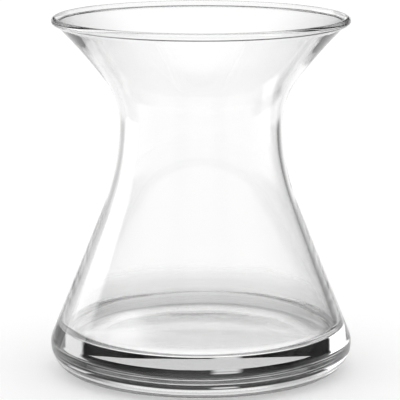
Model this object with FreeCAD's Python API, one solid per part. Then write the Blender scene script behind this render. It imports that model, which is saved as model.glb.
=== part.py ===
"""A hyacinth forcing vase in clear glass.

The vase is one piece: a body of revolution about Z that stands on z = 0. A thick foot carries a wide
water chamber, the wall sweeps in to a tight neck, and a funnel opens above the neck to hold the bulb.
All lengths are in millimetres and all angles in degrees.
"""

import FreeCAD, Part

import math
import os

# Overall sizes
VASE_HEIGHT = 125.0  # foot to lip
RIM_DIAMETER = 104.0  # across the outside of the lip
NECK_DIAMETER = 57.0  # outside, at the tightest place
NECK_HEIGHT = 87.8  # tightest place above the foot
BODY_DIAMETER = 106.0  # across the widest place, just above the foot

# The glass
WALL = 1.9  # neck and the lower funnel
LIP_WALL = 1.2  # where the funnel has thinned to, just below the lip
BASE_WALL = 6.0  # measured level, from the widest place in to the water chamber
FLOOR_THICKNESS = 13.5  # solid glass under the middle of the chamber floor

# The foot, from the middle outwards
PUNT_DEPTH = 0.4  # hollow of the underside at the axis
PUNT_EDGE_RADIUS = 0.2
FOOT_RING_WIDTH = 7.0  # the flat ring that the vase stands on
HEEL_RADIUS = 10.1  # from the foot ring out to the widest place
BODY_TURN_RADIUS = 7.75  # from the widest place up into the wall

# The wall between the body and the neck is an arc that is upright at the neck and a straight run below
# it. The share is of the largest arc, the one that would leave no straight run.
SWEEP_SHARE = 0.62

# The funnel, a tight arc at the neck that runs on into a slacker one
FUNNEL_TURN_RADIUS = 26.0
FUNNEL_TURN_ANGLE = 36.6  # how far the tight arc leans out before the slack one begins

# The lip, a round bead that stands a little proud of both faces of the funnel
LIP_RADIUS = 1.3
LIP_FILLET_RADIUS = 1.0

# The water chamber
CORNER_RADIUS = 3.0  # where the wall meets the floor
FLOOR_DISH = 0.4  # how far the floor sinks towards its middle


class Section:
    """Collects the edges of the half section, each starting where the last one ended."""

    def __init__(self, start):
        self.edges = []
        self.end = start

    def line_to(self, point):
        self.edges.append(Part.LineSegment(vector(self.end), vector(point)).toShape())
        self.end = point

    def arc_to(self, centre, radius, end_angle):
        """The arc of under half a turn to the place at end_angle, measured from +X; radius is signed."""
        start_angle = angle_at(centre, radius, self.end)
        sweep = math.remainder(end_angle - start_angle, 2 * math.pi)
        middle = polar(centre, radius, start_angle + sweep / 2)
        end = polar(centre, radius, end_angle)
        self.edges.append(Part.Arc(vector(self.end), vector(middle), vector(end)).toShape())
        self.end = end


def vector(point):
    """A place in the section, given as radius and height, on the XZ plane."""
    return FreeCAD.Vector(point[0], 0, point[1])


def polar(centre, radius, angle):
    return (centre[0] + radius * math.cos(angle), centre[1] + radius * math.sin(angle))


def angle_at(centre, radius, point):
    """The angle at which an arc of this signed radius about centre is nearest to point."""
    return math.atan2((point[1] - centre[1]) / radius, (point[0] - centre[0]) / radius)


def sweep_arc(neck_radius, lower_centre, lower_radius):
    """Centre and radius of the arc below the neck, on the side of the air outside.

    The largest arc that is upright at the neck and still touches the arc at the body has a straight
    run of no length. SWEEP_SHARE of its radius leaves a straight run between the two.
    """
    across = lower_centre[0] - neck_radius
    down = NECK_HEIGHT - lower_centre[1]
    largest = (across**2 + down**2 - lower_radius**2) / (2 * (across + lower_radius))
    radius = SWEEP_SHARE * largest
    return (neck_radius + radius, NECK_HEIGHT), radius


def lean_between(lower_centre, lower_radius, upper_centre, upper_radius):
    """Angle above level of the outward normal of the straight run between two arcs."""
    across = upper_centre[0] - lower_centre[0]
    up = upper_centre[1] - lower_centre[1]
    return math.atan2(up, across) - math.acos((lower_radius + upper_radius) / math.hypot(across, up))


def funnel_arcs():
    """Centre of the tight arc, then centre and radius of each slack arc, and the centre of the bead.

    A slack arc leaves the tight one without a corner and passes the bead's centre at half of LIP_WALL:
    the outer face runs below it and the inner face above it. Its radius is negative where the lip lies
    further in than the tight arc's lean, so that the arc has to bend back towards the upright.
    """
    turn = math.radians(FUNNEL_TURN_ANGLE)
    bead = (RIM_DIAMETER / 2 - LIP_RADIUS, VASE_HEIGHT - LIP_RADIUS)
    tight = (NECK_DIAMETER / 2 + FUNNEL_TURN_RADIUS, NECK_HEIGHT)
    slack_arcs = []
    for wall, half_lip in ((0, LIP_WALL / 2), (WALL, -LIP_WALL / 2)):
        join = polar(tight, FUNNEL_TURN_RADIUS + wall, math.pi - turn)
        across, up = join[0] - bead[0], join[1] - bead[1]
        inward = math.cos(turn) * across - math.sin(turn) * up
        radius = (across**2 + up**2 - half_lip**2) / (2 * (half_lip - inward))
        slack_arcs.append((polar(join, radius, -turn), radius))
    return tight, slack_arcs, bead


def bead_fillet(slack, slack_radius, to_fillet, bead):
    """Centre of the fillet between the bead and a face of the funnel, and where it touches that face."""
    reach = math.hypot(bead[0] - slack[0], bead[1] - slack[1])
    from_bead = LIP_RADIUS + LIP_FILLET_RADIUS
    spread = math.acos((reach**2 + to_fillet**2 - from_bead**2) / (2 * reach * to_fillet))
    fillet = polar(slack, to_fillet, angle_at(slack, reach, bead) + spread)
    return fillet, polar(slack, -slack_radius, angle_at(slack, -slack_radius, fillet))


def underside(section):
    """The shallow hollow under the foot, its rounded edge and the flat ring round it."""
    ring_inside = BODY_DIAMETER / 2 - HEEL_RADIUS - FOOT_RING_WIDTH
    reach = (ring_inside**2 + PUNT_DEPTH**2) / (2 * PUNT_DEPTH)
    punt_radius = reach - PUNT_EDGE_RADIUS
    punt_centre = (0, PUNT_DEPTH - punt_radius)
    edge_centre = (ring_inside, PUNT_EDGE_RADIUS)
    rise = math.atan2(edge_centre[1] - punt_centre[1], edge_centre[0] - punt_centre[0])
    section.arc_to(punt_centre, punt_radius, rise)
    section.arc_to(edge_centre, -PUNT_EDGE_RADIUS, math.pi / 2)
    section.line_to((BODY_DIAMETER / 2 - HEEL_RADIUS, 0))


def outside(section):
    """Up the outside: the heel, the turn into the wall, the sweep to the neck and the funnel."""
    heel = (BODY_DIAMETER / 2 - HEEL_RADIUS, HEEL_RADIUS)
    turn_centre = (BODY_DIAMETER / 2 - BODY_TURN_RADIUS, HEEL_RADIUS)
    sweep_centre, sweep_radius = sweep_arc(NECK_DIAMETER / 2, turn_centre, BODY_TURN_RADIUS)
    lean = lean_between(turn_centre, BODY_TURN_RADIUS, sweep_centre, sweep_radius)
    tight, ((slack, slack_radius), _), bead = funnel_arcs()
    section.arc_to(heel, HEEL_RADIUS, 0)
    section.arc_to(turn_centre, BODY_TURN_RADIUS, lean)
    section.line_to(polar(sweep_centre, -sweep_radius, lean))
    section.arc_to(sweep_centre, -sweep_radius, 0)
    section.arc_to(tight, -FUNNEL_TURN_RADIUS, -math.radians(FUNNEL_TURN_ANGLE))
    fillet, touch = bead_fillet(slack, slack_radius, slack_radius - LIP_FILLET_RADIUS, bead)
    section.arc_to(slack, -slack_radius, angle_at(slack, -slack_radius, touch))
    section.arc_to(fillet, -LIP_FILLET_RADIUS, angle_at(fillet, -LIP_FILLET_RADIUS, bead))


def lip(section):
    """Over the bead, from the outer face of the funnel to the inner one."""
    _, (_, (slack, slack_radius)), bead = funnel_arcs()
    fillet, touch = bead_fillet(slack, slack_radius, slack_radius + LIP_FILLET_RADIUS, bead)
    section.arc_to(bead, LIP_RADIUS, 0)
    section.arc_to(bead, LIP_RADIUS, math.pi / 2)
    section.arc_to(bead, LIP_RADIUS, angle_at(bead, LIP_RADIUS, fillet))
    section.arc_to(fillet, -LIP_FILLET_RADIUS, angle_at(fillet, -LIP_FILLET_RADIUS, touch))


def chamber(section):
    """Down the inside: the funnel, the neck, the wall, the corner and the floor."""
    tight, (_, (slack, slack_radius)), _ = funnel_arcs()
    section.arc_to(slack, -slack_radius, -math.radians(FUNNEL_TURN_ANGLE))
    section.arc_to(tight, -(FUNNEL_TURN_RADIUS + WALL), 0)
    corner = (BODY_DIAMETER / 2 - BASE_WALL - CORNER_RADIUS, FLOOR_THICKNESS + FLOOR_DISH + CORNER_RADIUS)
    sweep_centre, sweep_radius = sweep_arc(NECK_DIAMETER / 2 - WALL, corner, CORNER_RADIUS)
    lean = lean_between(corner, CORNER_RADIUS, sweep_centre, sweep_radius)
    section.arc_to(sweep_centre, -sweep_radius, lean)
    section.line_to(polar(corner, CORNER_RADIUS, lean))
    floor_radius = (corner[0]**2 + FLOOR_DISH**2) / (2 * FLOOR_DISH) + CORNER_RADIUS
    floor_centre = (0, FLOOR_THICKNESS + floor_radius)
    floor_edge = math.atan2(corner[1] - floor_centre[1], corner[0])
    section.arc_to(corner, CORNER_RADIUS, floor_edge)
    section.arc_to(floor_centre, floor_radius, -math.pi / 2)


def glass_vase():
    """The whole vase: its half section turned once about Z."""
    section = Section((0, PUNT_DEPTH))
    underside(section)
    outside(section)
    lip(section)
    chamber(section)
    section.line_to((0, PUNT_DEPTH))
    face = Part.Face(Part.Wire(section.edges))
    return face.revolve(FreeCAD.Vector(0, 0, 0), FreeCAD.Vector(0, 0, 1), 360)


def main():
    os.makedirs("parts", exist_ok=True)
    shape = glass_vase()
    box = shape.optimalBoundingBox(True, False)
    print("glass_vase valid", shape.isValid(), "volume", round(shape.Volume), "mm3")
    print("size", round(box.XLength, 2), round(box.YLength, 2), round(box.ZLength, 2), "mm")
    shape.exportStep("parts/glass_vase.step")


main()
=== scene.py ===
# %% [markdown]
# # A hyacinth forcing vase in clear glass
#
# The vase is one piece of blown glass. Its shape was settled in CAD, and this script gives it a smooth
# surface, a glass that bends light as real glass does, and a small studio to stand in. Clear glass has
# no colour of its own to show, so nearly all of its look comes from what it bends and mirrors: the pale
# table, the soft boxes and the dark room round them.

import math

import bpy
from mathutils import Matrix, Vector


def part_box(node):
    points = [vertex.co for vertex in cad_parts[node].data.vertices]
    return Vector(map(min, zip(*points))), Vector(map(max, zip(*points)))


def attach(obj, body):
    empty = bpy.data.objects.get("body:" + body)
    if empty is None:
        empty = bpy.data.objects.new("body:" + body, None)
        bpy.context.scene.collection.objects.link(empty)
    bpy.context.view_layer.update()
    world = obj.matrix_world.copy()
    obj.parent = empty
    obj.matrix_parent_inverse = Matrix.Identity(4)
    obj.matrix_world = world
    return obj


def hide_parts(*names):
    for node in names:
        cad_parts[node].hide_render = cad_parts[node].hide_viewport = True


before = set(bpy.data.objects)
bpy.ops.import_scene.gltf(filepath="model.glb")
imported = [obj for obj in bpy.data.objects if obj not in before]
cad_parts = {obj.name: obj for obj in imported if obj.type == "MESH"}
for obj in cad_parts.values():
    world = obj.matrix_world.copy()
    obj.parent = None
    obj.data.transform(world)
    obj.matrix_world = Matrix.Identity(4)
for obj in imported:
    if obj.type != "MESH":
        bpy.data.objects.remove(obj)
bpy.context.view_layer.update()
low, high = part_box("glass_vase")
print("CAD vase:", [round(1000 * size, 1) for size in high - low], "mm")

# %% [markdown]
# ## Sizes
#
# Blender works in metres, so each size is a count of millimetres. They are the sizes that the CAD model
# was drawn with, because a smooth outline needs its radii, and those can't be read back from a model made
# of small flat faces. The height and widths can be held against the box that the cell above prints.

# %% Sizes of the vase
MM = 0.001
VASE_HEIGHT = 125.0 * MM
RIM_DIAMETER = 104.0 * MM
NECK_DIAMETER = 57.0 * MM
NECK_HEIGHT = 87.8 * MM
BODY_DIAMETER = 106.0 * MM
WALL = 1.9 * MM
BASE_WALL = 6.0 * MM
FLOOR_THICKNESS = 13.5 * MM
PUNT_DEPTH = 0.4 * MM
PUNT_EDGE_RADIUS = 0.2 * MM
FOOT_RING_WIDTH = 7.0 * MM
HEEL_RADIUS = 10.1 * MM
BODY_TURN_RADIUS = 7.75 * MM
SWEEP_SHARE = 0.62
FUNNEL_TURN_RADIUS = 26.0 * MM
FUNNEL_TURN_ANGLE = math.radians(36.6)
LIP_RADIUS = 1.3 * MM
LIP_WALL = 1.2 * MM
LIP_FILLET_RADIUS = 1.0 * MM
CORNER_RADIUS = 3.0 * MM
FLOOR_DISH = 0.4 * MM
print("drawn:", [round(size / MM, 1) for size in (BODY_DIAMETER, BODY_DIAMETER, VASE_HEIGHT)], "mm")

# %% [markdown]
# ## The outline
#
# A lathe-turned form is a flat outline swung round an axis. The outline here is straight runs and arcs
# that flow into each other without a corner, as in a glassblower's mould. Each is cut into equal steps, and
# the tighter an arc is, the more steps it has for its length, so that the lip stays round.

# %% A pen that draws the outline
class Outline:
    """Collects the outline's points as (radius, height), each stretch going on from the last."""

    def __init__(self, start):
        self.points = [start]

    def line_to(self, end, steps):
        start = self.points[-1]
        across, up = end[0] - start[0], end[1] - start[1]
        for step in range(1, steps + 1):
            self.points.append((start[0] + across * step / steps, start[1] + up * step / steps))

    def arc_to(self, centre, radius, end_angle, steps):
        start = self.points[-1]
        start_angle = math.atan2((start[1] - centre[1]) / radius, (start[0] - centre[0]) / radius)
        sweep = math.remainder(end_angle - start_angle, 2 * math.pi)
        for step in range(1, steps + 1):
            self.points.append(polar(centre, radius, start_angle + sweep * step / steps))


def polar(centre, radius, angle):
    return (centre[0] + radius * math.cos(angle), centre[1] + radius * math.sin(angle))


# %% Where the arcs meet
def sweep_arc(neck_radius, lower_centre, lower_radius):
    """Centre and radius of the wall's arc below the neck."""
    across = lower_centre[0] - neck_radius
    down = NECK_HEIGHT - lower_centre[1]
    largest = (across**2 + down**2 - lower_radius**2) / (2 * (across + lower_radius))
    radius = SWEEP_SHARE * largest
    return (neck_radius + radius, NECK_HEIGHT), radius


def lean_between(lower_centre, lower_radius, upper_centre, upper_radius):
    """How far the straight run between two arcs leans, as the angle of its normal above level."""
    across = upper_centre[0] - lower_centre[0]
    up = upper_centre[1] - lower_centre[1]
    return math.atan2(up, across) - math.acos((lower_radius + upper_radius) / math.hypot(across, up))


def funnel_arcs():
    """The tight arc at the neck, then the centres and radii of the two slack arcs that go on to the bead.

    The wall thins on its way up, from WALL at the end of the tight arc to LIP_WALL at the bead.
    """
    bead = (RIM_DIAMETER / 2 - LIP_RADIUS, VASE_HEIGHT - LIP_RADIUS)
    tight = (NECK_DIAMETER / 2 + FUNNEL_TURN_RADIUS, NECK_HEIGHT)
    slack_arcs = []
    for wall, half_lip in ((0, LIP_WALL / 2), (WALL, -LIP_WALL / 2)):
        join = polar(tight, FUNNEL_TURN_RADIUS + wall, math.pi - FUNNEL_TURN_ANGLE)
        across, up = join[0] - bead[0], join[1] - bead[1]
        inward = math.cos(FUNNEL_TURN_ANGLE) * across - math.sin(FUNNEL_TURN_ANGLE) * up
        radius = (across**2 + up**2 - half_lip**2) / (2 * (half_lip - inward))
        slack_arcs.append((polar(join, radius, -FUNNEL_TURN_ANGLE), radius))
    return tight, slack_arcs, bead


def bead_fillet(slack, to_fillet, bead):
    """Centre of a small hollow where the bead stands proud of the funnel, to_fillet from the slack centre."""
    reach = math.hypot(bead[0] - slack[0], bead[1] - slack[1])
    from_bead = LIP_RADIUS + LIP_FILLET_RADIUS
    spread = math.acos((reach**2 + to_fillet**2 - from_bead**2) / (2 * reach * to_fillet))
    return polar(slack, to_fillet, angle_from(slack, bead) + spread)


def angle_from(start, end):
    return math.atan2(end[1] - start[1], end[0] - start[0])


# %% How many steps each stretch of the outline has
PUNT_STEPS = 16
PUNT_EDGE_STEPS = 4
RING_STEPS = 4
HEEL_STEPS = 36
BODY_TURN_STEPS = 10
WALL_STEPS = 20
SWEEP_STEPS = 22
TIGHT_STEPS = 18
SLACK_STEPS = 14
LIP_FILLET_STEPS = 5
BEAD_OUTSIDE_STEPS = 10
BEAD_INSIDE_STEPS = 12
CORNER_STEPS = 30
FLOOR_STEPS = 18


# %% The whole outline, from the middle of the underside round to the middle of the floor
def vase_outline():
    outline = Outline((0, PUNT_DEPTH))
    ring_inside = BODY_DIAMETER / 2 - HEEL_RADIUS - FOOT_RING_WIDTH
    reach = (ring_inside**2 + PUNT_DEPTH**2) / (2 * PUNT_DEPTH)
    punt_centre = (0, PUNT_DEPTH - reach + PUNT_EDGE_RADIUS)
    edge_centre = (ring_inside, PUNT_EDGE_RADIUS)
    rise = math.atan2(edge_centre[1] - punt_centre[1], edge_centre[0] - punt_centre[0])
    outline.arc_to(punt_centre, reach - PUNT_EDGE_RADIUS, rise, PUNT_STEPS)
    outline.arc_to(edge_centre, -PUNT_EDGE_RADIUS, math.pi / 2, PUNT_EDGE_STEPS)
    outline.line_to((BODY_DIAMETER / 2 - HEEL_RADIUS, 0), RING_STEPS)

    heel = (BODY_DIAMETER / 2 - HEEL_RADIUS, HEEL_RADIUS)
    turn_centre = (BODY_DIAMETER / 2 - BODY_TURN_RADIUS, HEEL_RADIUS)
    sweep_centre, sweep_radius = sweep_arc(NECK_DIAMETER / 2, turn_centre, BODY_TURN_RADIUS)
    lean = lean_between(turn_centre, BODY_TURN_RADIUS, sweep_centre, sweep_radius)
    tight, ((outer, outer_radius), (inner, inner_radius)), bead = funnel_arcs()
    under_bead = bead_fillet(outer, outer_radius - LIP_FILLET_RADIUS, bead)
    over_bead = bead_fillet(inner, inner_radius + LIP_FILLET_RADIUS, bead)
    outline.arc_to(heel, HEEL_RADIUS, 0, HEEL_STEPS)
    outline.arc_to(turn_centre, BODY_TURN_RADIUS, lean, BODY_TURN_STEPS)
    outline.line_to(polar(sweep_centre, -sweep_radius, lean), WALL_STEPS)
    outline.arc_to(sweep_centre, -sweep_radius, 0, SWEEP_STEPS)
    outline.arc_to(tight, -FUNNEL_TURN_RADIUS, -FUNNEL_TURN_ANGLE, TIGHT_STEPS)
    outline.arc_to(outer, -outer_radius, angle_from(under_bead, outer), SLACK_STEPS)
    outline.arc_to(under_bead, -LIP_FILLET_RADIUS, angle_from(bead, under_bead), LIP_FILLET_STEPS)
    outline.arc_to(bead, LIP_RADIUS, 0, BEAD_OUTSIDE_STEPS)
    outline.arc_to(bead, LIP_RADIUS, math.pi / 2, BEAD_OUTSIDE_STEPS)
    outline.arc_to(bead, LIP_RADIUS, angle_from(bead, over_bead), BEAD_INSIDE_STEPS)

    outline.arc_to(over_bead, -LIP_FILLET_RADIUS, angle_from(inner, over_bead), LIP_FILLET_STEPS)
    outline.arc_to(inner, -inner_radius, -FUNNEL_TURN_ANGLE, SLACK_STEPS)
    outline.arc_to(tight, -(FUNNEL_TURN_RADIUS + WALL), 0, TIGHT_STEPS)
    corner = (BODY_DIAMETER / 2 - BASE_WALL - CORNER_RADIUS, FLOOR_THICKNESS + FLOOR_DISH + CORNER_RADIUS)
    sweep_centre, sweep_radius = sweep_arc(NECK_DIAMETER / 2 - WALL, corner, CORNER_RADIUS)
    lean = lean_between(corner, CORNER_RADIUS, sweep_centre, sweep_radius)
    outline.arc_to(sweep_centre, -sweep_radius, lean, SWEEP_STEPS)
    outline.line_to(polar(corner, CORNER_RADIUS, lean), WALL_STEPS)
    floor_radius = (corner[0]**2 + FLOOR_DISH**2) / (2 * FLOOR_DISH) + CORNER_RADIUS
    floor_centre = (0, FLOOR_THICKNESS + floor_radius)
    outline.arc_to(corner, CORNER_RADIUS, math.atan2(corner[1] - floor_centre[1], corner[0]), CORNER_STEPS)
    outline.arc_to(floor_centre, floor_radius, -math.pi / 2, FLOOR_STEPS)
    return outline.points


points = vase_outline()
print("outline:", len(points), "points")

# %% [markdown]
# ## The lathe
#
# Geometry Nodes swing the outline round the axis. A grid has one row of vertices for each point of the
# outline and one column for each step round. Every vertex looks up its outline point and moves to that
# radius and height at its own angle. A faint, slow ripple then moves the surface by a few hundredths of a
# millimetre, as glass that has touched a mould and cooled: it is far too small to see as a shape,
# but it makes the bright and dark shapes in the thick foot run a little unevenly, as they do in real glass.

# %% Helpers for building node trees
def add_node(tree, kind, settings=None, values=None):
    """Adds a node, sets its properties, then its input values by name or number."""
    node = tree.nodes.new(kind)
    for name, value in (settings or {}).items():
        setattr(node, name, value)
    for name, value in (values or {}).items():
        node.inputs[name].default_value = value
    return node


def math_node(tree, operation, *inputs):
    """A Math node whose inputs are numbers or sockets; gives its output socket."""
    node = add_node(tree, "ShaderNodeMath", {"operation": operation})
    for place, value in enumerate(inputs):
        if isinstance(value, bpy.types.NodeSocket):
            tree.links.new(value, node.inputs[place])
        else:
            node.inputs[place].default_value = value
    return node.outputs[0]


# %% The lathe's node tree
WELD_DISTANCE = 0.001 * MM
RIPPLE_DETAIL = 2.0
RIPPLE_ROUGHNESS = 0.4


def lathe_tree():
    tree = bpy.data.node_groups.new("Lathe", "GeometryNodeTree")
    face = tree.interface
    face.new_socket("Outline", in_out="INPUT", socket_type="NodeSocketGeometry")
    for name, kind in (
        ("Steps Around", "NodeSocketInt"),
        ("Ripple Height", "NodeSocketFloat"),
        ("Ripple Scale", "NodeSocketFloat"),
        ("Ripple Seed", "NodeSocketFloat"),
        ("Glass", "NodeSocketMaterial"),
    ):
        face.new_socket(name, in_out="INPUT", socket_type=kind)
    face.new_socket("Vase", in_out="OUTPUT", socket_type="NodeSocketGeometry")
    given = add_node(tree, "NodeGroupInput").outputs
    link = tree.links.new

    count = add_node(tree, "GeometryNodeAttributeDomainSize", {"component": "MESH"})
    link(given["Outline"], count.inputs[0])
    grid = add_node(tree, "GeometryNodeMeshGrid", values={"Size X": 1.0, "Size Y": 1.0})
    link(math_node(tree, "ADD", given["Steps Around"], 1), grid.inputs["Vertices X"])
    link(count.outputs["Point Count"], grid.inputs["Vertices Y"])

    place = add_node(tree, "ShaderNodeSeparateXYZ")
    link(add_node(tree, "GeometryNodeInputPosition").outputs[0], place.inputs[0])
    angle = math_node(tree, "MULTIPLY", place.outputs["X"], 2 * math.pi)
    last = math_node(tree, "SUBTRACT", count.outputs["Point Count"], 1)
    along = math_node(tree, "ADD", place.outputs["Y"], 0.5)
    index = math_node(tree, "ROUND", math_node(tree, "MULTIPLY", along, last))

    look_up = add_node(tree, "GeometryNodeSampleIndex", {"data_type": "FLOAT_VECTOR", "domain": "POINT"})
    link(given["Outline"], look_up.inputs["Geometry"])
    link(add_node(tree, "GeometryNodeInputPosition").outputs[0], look_up.inputs["Value"])
    link(index, look_up.inputs["Index"])
    found = add_node(tree, "ShaderNodeSeparateXYZ")
    link(look_up.outputs[0], found.inputs[0])
    turned = add_node(tree, "ShaderNodeCombineXYZ")
    for axis, wave in (("X", "COSINE"), ("Y", "SINE")):
        share = math_node(tree, wave, angle)
        link(math_node(tree, "MULTIPLY", found.outputs["X"], share), turned.inputs[axis])
    link(found.outputs["Z"], turned.inputs["Z"])
    swing = add_node(tree, "GeometryNodeSetPosition")
    link(grid.outputs["Mesh"], swing.inputs["Geometry"])
    link(turned.outputs[0], swing.inputs["Position"])
    weld = add_node(tree, "GeometryNodeMergeByDistance", values={"Distance": WELD_DISTANCE})
    link(swing.outputs[0], weld.inputs["Geometry"])

    fine = {"Detail": RIPPLE_DETAIL, "Roughness": RIPPLE_ROUGHNESS}
    noise = add_node(tree, "ShaderNodeTexNoise", {"noise_dimensions": "4D"}, fine)
    link(given["Ripple Scale"], noise.inputs["Scale"])
    link(given["Ripple Seed"], noise.inputs["W"])
    centred = math_node(tree, "SUBTRACT", noise.outputs[0], 0.5)
    swell = math_node(tree, "MULTIPLY", centred, given["Ripple Height"])
    push = add_node(tree, "ShaderNodeVectorMath", {"operation": "SCALE"})
    link(add_node(tree, "GeometryNodeInputNormal").outputs[0], push.inputs[0])
    link(swell, push.inputs["Scale"])
    ripple = add_node(tree, "GeometryNodeSetPosition")
    link(weld.outputs[0], ripple.inputs["Geometry"])
    link(push.outputs[0], ripple.inputs["Offset"])

    smooth = add_node(tree, "GeometryNodeSetShadeSmooth")
    link(ripple.outputs[0], smooth.inputs["Geometry"])
    real = add_node(tree, "GeometryNodeRealizeInstances")
    link(smooth.outputs[0], real.inputs[0])
    paint = add_node(tree, "GeometryNodeSetMaterial")
    link(real.outputs[0], paint.inputs["Geometry"])
    link(given["Glass"], paint.inputs["Material"])
    link(paint.outputs[0], add_node(tree, "NodeGroupOutput").inputs["Vase"])
    return tree


# %% [markdown]
# ## The glass
#
# Clear soda-lime glass has an index of refraction of about 1.5, and a trace of iron that takes a little
# light over a long path. So the thin neck stays clear, while light that crosses the thick foot sideways
# comes out greyer. That loss belongs inside the glass, in a Volume Absorption, and not in its surface.

# %% The glass
WHITE = (1.0, 1.0, 1.0, 1.0)
GLASS_IOR = 1.5
ABSORB_PER_METRE = 1.7
ABSORB_GREY = 0.5


def clear_glass():
    material = bpy.data.materials.new("clear_glass")
    material.use_nodes = True
    tree = material.node_tree
    surface = tree.nodes["Principled BSDF"]
    surface.inputs["Base Color"].default_value = WHITE
    surface.inputs["Transmission Weight"].default_value = 1.0
    surface.inputs["Roughness"].default_value = 0.0
    surface.inputs["IOR"].default_value = GLASS_IOR
    # The node takes 1 minus its colour, times its density, from the light over each metre.
    inside = add_node(tree, "ShaderNodeVolumeAbsorption")
    inside.inputs["Color"].default_value = (ABSORB_GREY,) * 3 + (1.0,)
    inside.inputs["Density"].default_value = ABSORB_PER_METRE / (1 - ABSORB_GREY)
    tree.links.new(inside.outputs[0], tree.nodes["Material Output"].inputs["Volume"])
    return material


glass = clear_glass()
print("glass:", glass.name, "with an index of refraction of", GLASS_IOR)

# %% Turning the vase
STEPS_AROUND = 256
RIPPLE_HEIGHT = 0.08 * MM
RIPPLES_PER_METRE = 60.0
RIPPLE_SEED = 3.0


def turn_vase():
    mesh = bpy.data.meshes.new("vase_outline")
    edges = [(number, number + 1) for number in range(len(points) - 1)]
    mesh.from_pydata([(radius, 0, height) for radius, height in points], edges, [])
    lathe = bpy.data.objects.new("vase_outline", mesh)
    bpy.context.scene.collection.objects.link(lathe)
    tree = lathe_tree()
    modifier = lathe.modifiers.new("Lathe", "NODES")
    modifier.node_group = tree
    inputs = {item.name: item.identifier for item in tree.interface.items_tree if item.in_out == "INPUT"}
    modifier[inputs["Steps Around"]] = STEPS_AROUND
    modifier[inputs["Ripple Height"]] = RIPPLE_HEIGHT
    modifier[inputs["Ripple Scale"]] = RIPPLES_PER_METRE
    modifier[inputs["Ripple Seed"]] = RIPPLE_SEED
    modifier[inputs["Glass"]] = glass
    ready = lathe.evaluated_get(bpy.context.evaluated_depsgraph_get())
    turned = bpy.data.meshes.new_from_object(ready)
    turned.name = "vase"
    bpy.data.objects.remove(lathe)
    vase = bpy.data.objects.new("vase", turned)
    bpy.context.scene.collection.objects.link(vase)
    return vase


vase = turn_vase()
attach(vase, "root")
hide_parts("glass_vase")
print("vase mesh:", len(vase.data.vertices), "vertices,", len(vase.data.polygons), "faces")

# %% [markdown]
# ## The studio
#
# A glass maker's photographer lights the room, not the glass. The world is that room, drawn with two
# angles: `turn` goes round the vase, 0 straight behind it and growing to the camera's right, and `rise`
# goes up from level. From the bottom up it holds:
#
# - white cards behind, from the floor to just above level, which make the thin walls look clear;
# - gaps in the cards to both sides, whose dark edges the rim of the form bends into its outlines;
# - a dark band above the cards, which the thick foot turns over into its dark crescents;
# - a white ceiling, and a plain pale front, which is dim where the outer face mirrors it, so that it
#   doesn't veil the dark crescents;
# - a few soft boxes, which leave the bright streaks.
#
# Rays that come straight from the camera see plain white, and so does the light that falls on the table,
# so the vase stands on a pale ground with its shadow. Only rays that the glass has bent or mirrored see
# the cards, the gaps and the soft boxes.

# %% Levels and angles of the studio, in degrees
ROOM_LEVEL = 1.0
CARD_LEVEL = 1.02
CARD_TOP = 3.0
CARD_FADE = 4.5
CEILING_START = 34.0
CEILING_END = 62.0
CEILING_LEVEL = 1.0
DARK_MIDDLE = 0.03
DARK_SIDES = 0.005
MIDDLE_ENDS = 6.0
SIDES_START = 16.0
FRONT_STARTS = 75.0
FRONT_FULL = 120.0
FRONT_LOW = 0.95
FRONT_HIGH = 0.6
FRONT_SHARE = 0.85
FRONT_MIRRORED = 0.2
# Each gap: turn of its middle, half its width, width of its soft edge, and how dark it is.
GAPS = (
    (45.0, 9.0, 21.0, 0.8),
    (-28.0, 6.0, 8.0, 0.4),
    (152.0, 4.0, 12.0, 0.35),
    (-152.0, 4.0, 12.0, 0.35),
)
# The gaps are faint below their foot, so that they don't grey the walls when they are seen straight through.
GAP_FOOT = -14.0
GAP_FULL = -8.0
GAP_FOOT_SHARE = 0.25
# A dark corner low on the right, for the lower right of the foot.
LOW_GAP = (68.0, 26.0, 10.0)
LOW_GAP_TOP = -24.0
LOW_GAP_FADE = 4.0
# Each soft box: turn of its middle, half its width, rise of its middle, half its height, and its level.
SOFT_BOXES = (
    (-60.0, 13.5, 1.0, 15.0, 2.0),
    (45.0, 6.0, 15.0, 6.0, 0.8),
    (-6.0, 2.0, 12.0, 2.0, 0.8),
    (-50.0, 3.0, 11.0, 3.0, 0.5),
)
BOX_EDGE = 2.5


# %% Helpers for light
def ramp(tree, value, start, end, low=0.0, high=1.0):
    """A smooth step from low at start to high at end."""
    values = {"From Min": start, "From Max": end, "To Min": low, "To Max": high}
    node = add_node(tree, "ShaderNodeMapRange", {"interpolation_type": "SMOOTHSTEP"}, values)
    tree.links.new(value, node.inputs["Value"])
    return node.outputs[0]


def band(tree, value, middle, half, soft):
    """1 where value lies within half of the middle, fading to 0 over the soft edge."""
    off = math_node(tree, "ABSOLUTE", math_node(tree, "SUBTRACT", value, middle))
    return ramp(tree, off, half + soft, half)


def glass_ray(tree):
    """1 for a ray that the glass has bent or mirrored on its way from the camera, and 0 for any other."""
    path = add_node(tree, "ShaderNodeLightPath")
    bent = math_node(tree, "MAXIMUM", path.outputs["Is Glossy Ray"], path.outputs["Is Transmission Ray"])
    direct = math_node(tree, "LESS_THAN", path.outputs["Diffuse Depth"], 0.5)
    return math_node(tree, "MULTIPLY", bent, direct)


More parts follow.
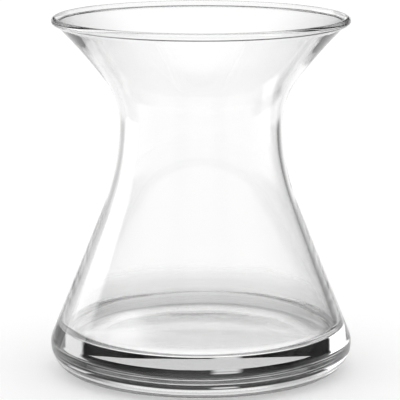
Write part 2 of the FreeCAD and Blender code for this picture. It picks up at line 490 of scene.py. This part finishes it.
# %% The room
def studio_room():
    world = bpy.data.worlds.new("studio")
    bpy.context.scene.world = world
    world.use_nodes = True
    tree = world.node_tree
    split = add_node(tree, "ShaderNodeSeparateXYZ")
    tree.links.new(add_node(tree, "ShaderNodeTexCoord").outputs["Generated"], split.inputs[0])
    turn = math_node(tree, "DEGREES", math_node(tree, "ARCTAN2", split.outputs["X"], split.outputs["Y"]))
    rise = math_node(tree, "DEGREES", math_node(tree, "ARCSINE", split.outputs["Z"]))

    aside = math_node(tree, "ABSOLUTE", turn)
    dark = ramp(tree, aside, MIDDLE_ENDS, SIDES_START, DARK_MIDDLE, DARK_SIDES)
    cards = ramp(tree, rise, CARD_TOP + CARD_FADE, CARD_TOP, 0.0, CARD_LEVEL)
    low = ramp(tree, rise, LOW_GAP_TOP, LOW_GAP_TOP - LOW_GAP_FADE)
    low_gap = math_node(tree, "MULTIPLY", band(tree, turn, *LOW_GAP), low)
    cards = math_node(tree, "MULTIPLY", cards, math_node(tree, "SUBTRACT", 1.0, low_gap))
    light = math_node(tree, "MAXIMUM", cards, dark)

    front = ramp(tree, aside, FRONT_STARTS, FRONT_FULL, 0.0, FRONT_SHARE)
    front_level = ramp(tree, rise, CARD_TOP, CEILING_START, FRONT_LOW, FRONT_HIGH)
    through = add_node(tree, "ShaderNodeLightPath").outputs["Is Transmission Ray"]
    front_level = math_node(tree, "MULTIPLY", front_level, ramp(tree, through, 0.0, 1.0, FRONT_MIRRORED))
    plain_front = math_node(tree, "MULTIPLY", front, front_level)
    light = math_node(tree, "MULTIPLY_ADD", light, math_node(tree, "SUBTRACT", 1.0, front), plain_front)

    strength = ramp(tree, rise, GAP_FOOT, GAP_FULL, GAP_FOOT_SHARE, 1.0)
    for middle, half, soft, depth in GAPS:
        gap = math_node(tree, "MULTIPLY", band(tree, turn, middle, half, soft), depth)
        gap = math_node(tree, "MULTIPLY", gap, strength)
        light = math_node(tree, "MULTIPLY", light, math_node(tree, "SUBTRACT", 1.0, gap))
    ceiling = ramp(tree, rise, CEILING_START, CEILING_END, 0.0, CEILING_LEVEL)
    light = math_node(tree, "MAXIMUM", light, ceiling)
    for middle, half, height, half_height, level in SOFT_BOXES:
        across = band(tree, turn, middle, half, BOX_EDGE)
        up = band(tree, rise, height, half_height, BOX_EDGE)
        box = math_node(tree, "MULTIPLY", math_node(tree, "MULTIPLY", across, up), level)
        light = math_node(tree, "MAXIMUM", light, box)

    bent = glass_ray(tree)
    plain = math_node(tree, "MULTIPLY", math_node(tree, "SUBTRACT", 1.0, bent), ROOM_LEVEL)
    total = math_node(tree, "MULTIPLY_ADD", light, bent, plain)
    back = tree.nodes["Background"]
    back.inputs["Color"].default_value = WHITE
    tree.links.new(total, back.inputs["Strength"])


studio_room()
print("studio:", len(GAPS), "gaps and", len(SOFT_BOXES), "soft boxes")

# %% [markdown]
# ## The table
#
# A matt white top just under the foot takes the soft shadow, and a little glow of its own keeps it as
# white as the room behind it. Glass lets the light of the room down to the table and back up, but light
# sampling misses such paths and leaves the table under the vase black. So under the foot it glows for
# the rays that the glass has bent, and the glow fades out towards the heel. Beyond a hand's breadth those
# rays pass through the table and see the room, so that the foot mirrors cards and not an endless floor.

# %% Sizes and levels of the table
TABLE_COLOUR = 0.85
TABLE_GLOW = 0.2
UNDER_GLOW = 0.92
UNDER_INSIDE = 38.0 * MM
UNDER_OUTSIDE = 50.0 * MM
FLOOR_GAP = 0.1 * MM
TABLE_SIZE = 12.0
NEAR_TABLE = 120.0 * MM
FAR_TABLE = 160.0 * MM


# %% The table
def white_table():
    bpy.ops.mesh.primitive_plane_add(size=TABLE_SIZE, location=(0, 0, -FLOOR_GAP))
    table = bpy.context.active_object
    table.name = "table"
    material = bpy.data.materials.new("table_white")
    material.use_nodes = True
    tree = material.node_tree
    tree.nodes.remove(tree.nodes["Principled BSDF"])
    matt = add_node(tree, "ShaderNodeBsdfDiffuse", values={"Color": (TABLE_COLOUR,) * 3 + (1.0,)})
    path = add_node(tree, "ShaderNodeLightPath")
    bent = glass_ray(tree)
    straight = math_node(tree, "MULTIPLY", path.outputs["Is Camera Ray"], TABLE_GLOW)
    distance = add_node(tree, "ShaderNodeVectorMath", {"operation": "LENGTH"})
    tree.links.new(add_node(tree, "ShaderNodeNewGeometry").outputs["Position"], distance.inputs[0])
    under = ramp(tree, distance.outputs["Value"], UNDER_INSIDE, UNDER_OUTSIDE, UNDER_GLOW, 0.0)
    glow = add_node(tree, "ShaderNodeEmission", values={"Color": WHITE})
    tree.links.new(math_node(tree, "MULTIPLY_ADD", bent, under, straight), glow.inputs["Strength"])
    lit = add_node(tree, "ShaderNodeAddShader")
    tree.links.new(matt.outputs[0], lit.inputs[0])
    tree.links.new(glow.outputs[0], lit.inputs[1])
    far = math_node(tree, "MULTIPLY", ramp(tree, distance.outputs["Value"], NEAR_TABLE, FAR_TABLE), bent)
    mix = add_node(tree, "ShaderNodeMixShader")
    tree.links.new(far, mix.inputs[0])
    tree.links.new(lit.outputs[0], mix.inputs[1])
    tree.links.new(add_node(tree, "ShaderNodeBsdfTransparent").outputs[0], mix.inputs[2])
    tree.links.new(mix.outputs[0], tree.nodes["Material Output"].inputs["Surface"])
    table.data.materials.append(material)


white_table()
print("table:", TABLE_SIZE, "m across,", round(FLOOR_GAP / MM, 2), "mm below the foot")

# %% [markdown]
# ## The camera
#
# The camera was worked out from the photo itself: the ellipses of the lip and the foot give its height
# and its tilt, and the way the sides narrow gives its distance. Its focal length is in pixels of the
# photo, so the lens is that length scaled to the sensor. The vase stands a pixel to the right of the
# middle, so the camera is moved a little to the left.

# %% The camera
IMAGE_SIDE = 400
FOCAL_PIXELS = 2636.6
CAMERA_DISTANCE = 909.6 * MM
CAMERA_HEIGHT = 228.4 * MM
CAMERA_PITCH = math.radians(10.476)
AXIS_COLUMN = 201.0
SENSOR_WIDTH = 36.0
CLIP_END = 100.0


def aim_camera():
    camera = bpy.data.cameras.new("camera")
    camera.sensor_width = SENSOR_WIDTH
    camera.lens = SENSOR_WIDTH * FOCAL_PIXELS / IMAGE_SIDE
    camera.clip_end = CLIP_END
    eye = bpy.data.objects.new("camera", camera)
    sideways = (IMAGE_SIDE / 2 - AXIS_COLUMN) * CAMERA_DISTANCE / FOCAL_PIXELS
    eye.location = (sideways, -CAMERA_DISTANCE, CAMERA_HEIGHT)
    eye.rotation_euler = (math.pi / 2 - CAMERA_PITCH, 0, 0)
    bpy.context.scene.collection.objects.link(eye)
    bpy.context.scene.camera = eye


aim_camera()
print("lens:", round(bpy.context.scene.camera.data.lens, 1), "mm")

# %% [markdown]
# ## Colour and bounces
#
# The Standard view keeps white cards white. A ray can mirror many times inside the thick foot before it
# leaves, and one that runs out of bounces comes back black, so glass is given more than usual.

# %% Colour and bounces
GLASS_BOUNCES = 24
ALL_BOUNCES = 32

scene = bpy.context.scene
scene.view_settings.view_transform = "Standard"
scene.cycles.glossy_bounces = GLASS_BOUNCES
scene.cycles.transmission_bounces = GLASS_BOUNCES
scene.cycles.max_bounces = ALL_BOUNCES
print("view:", scene.view_settings.view_transform)
